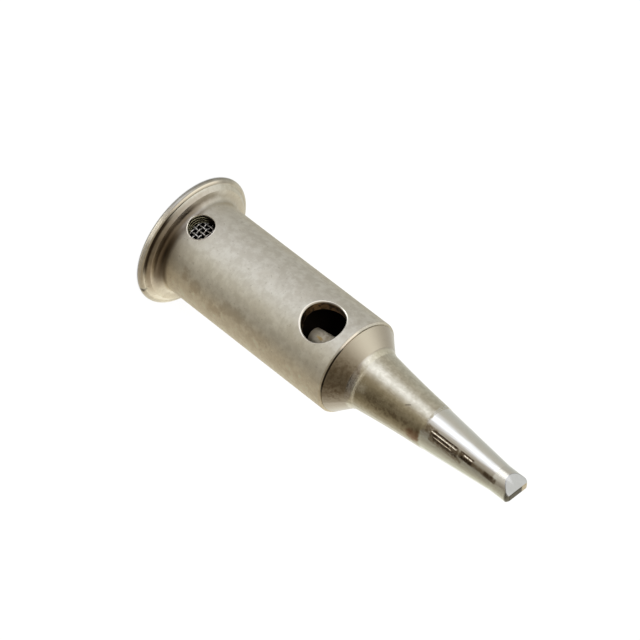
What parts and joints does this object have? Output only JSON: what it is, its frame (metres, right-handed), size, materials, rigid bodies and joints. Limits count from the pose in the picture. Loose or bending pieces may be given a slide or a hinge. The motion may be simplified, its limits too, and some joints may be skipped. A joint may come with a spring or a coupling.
{
  "type": "soldering iron tip",
  "caption": "Flanged tubular tip for a gas soldering iron, with an ignition hole, an exhaust port, a catalyst gauze inside and a tinned chisel point.",
  "frame": {"origin": "centre of the flange's back face, which the tip stands on", "axes": "+Z along the turning axis towards the chisel end; the ignition hole and the exhaust port look along -Y"},
  "size_m": [0.0126, 0.0126, 0.0391],
  "materials": {
    "plated_tube": "satin nickel plate over turned steel, lightly stained by heat",
    "plated_bit": "satin nickel plate on the shoulder and shank, bright tin on the point",
    "gauze_wire": "woven bare wire"
  },
  "bodies": {
    "root": {"body_tube": "plated_tube", "soldering_bit": "plated_bit", "catalyst_gauze": "gauze_wire"}
  },
  "joints": []
}
